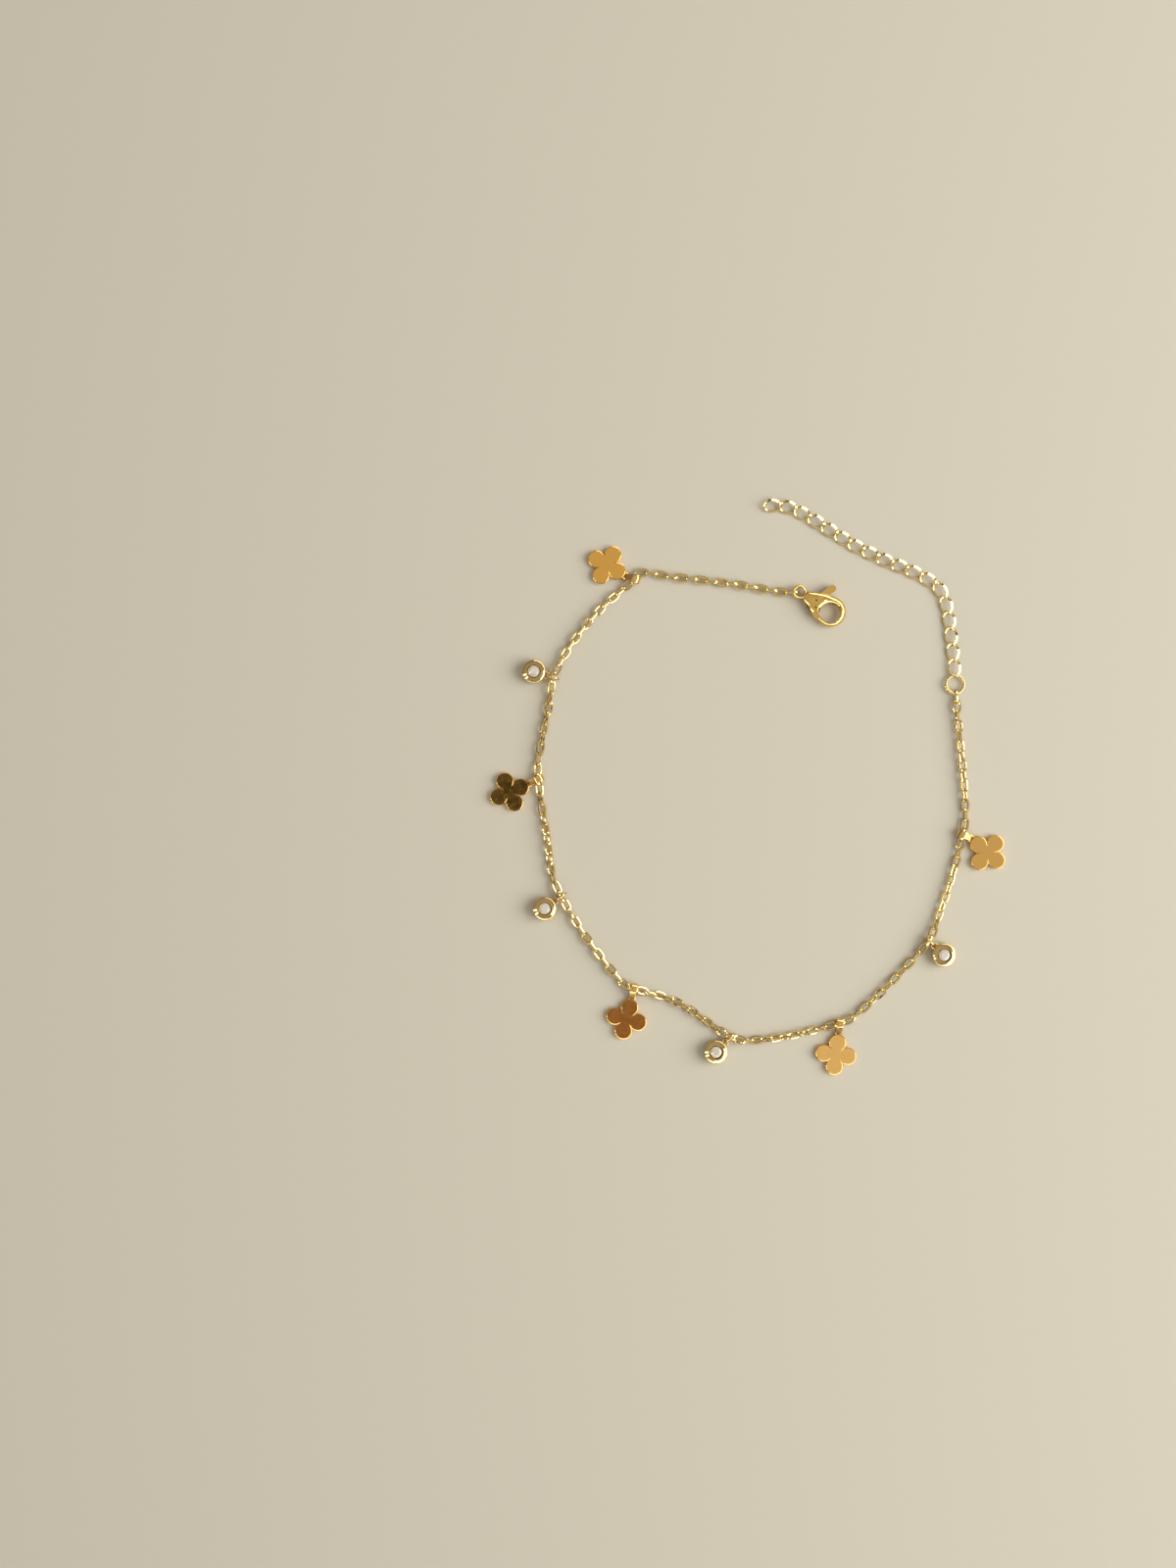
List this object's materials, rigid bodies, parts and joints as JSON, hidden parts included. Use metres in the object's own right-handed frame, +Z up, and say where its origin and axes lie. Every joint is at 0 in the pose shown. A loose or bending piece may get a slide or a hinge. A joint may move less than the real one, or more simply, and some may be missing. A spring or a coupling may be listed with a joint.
{
  "type": "charm anklet, laid open",
  "caption": "Fine cable chain anklet with flat clover charms and round bezel-set crystal drops, a lobster clasp and an extender chain, laid open on a surface.",
  "frame": {"origin": "on the surface that the anklet lies on, under the middle of its outline", "axes": "+Z up off the surface, +Y across the loop towards the clasp and the free end of the extender, +X from the side with the first drop to the side with the connector ring"},
  "size_m": [0.086, 0.0964, 0.0024],
  "materials": {
    "chain_gold": "pale gold plate on steel wire links, polished",
    "plate_gold": "gold plate on stamped steel, mirror polished with very fine brush marks",
    "bail_gold": "gold plate on folded steel strap, satin polished",
    "bezel_gold": "gold plate on turned steel, polished",
    "clasp_gold": "gold plate on cast steel, polished",
    "crystal": "clear cut glass, polished facets"
  },
  "bodies": {
    "anklet": {"cable_chain": "chain_gold", "extender_chain": "chain_gold", "connector_ring": "chain_gold", "clasp_body": "clasp_gold", "clasp_pin": "clasp_gold", "clover_1": "plate_gold", "clover_2": "plate_gold", "clover_3": "plate_gold", "clover_4": "plate_gold", "clover_5": "plate_gold", "clover_bail_1": "bail_gold", "clover_bail_2": "bail_gold", "clover_bail_3": "bail_gold", "clover_bail_4": "bail_gold", "clover_bail_5": "bail_gold", "drop_1": "bezel_gold", "drop_2": "bezel_gold", "drop_3": "bezel_gold", "drop_4": "bezel_gold", "drop_stone_1": "crystal", "drop_stone_2": "crystal", "drop_stone_3": "crystal", "drop_stone_4": "crystal", "drop_ring_1": "bezel_gold", "drop_ring_2": "bezel_gold", "drop_ring_3": "bezel_gold", "drop_ring_4": "bezel_gold"},
    "clasp_lever": {"clasp_lever": "clasp_gold"}
  },
  "joints": [
    {"name": "lever_pivot", "type": "hinge", "parent": "anklet", "child": "clasp_lever", "pos_m": [0.01203, 0.03158, 0.0011], "axis": [0, 0, 1], "range_deg": [0, 28], "stiffness_Nm_per_rad": 0.001, "springref_deg": -17.19}
  ]
}
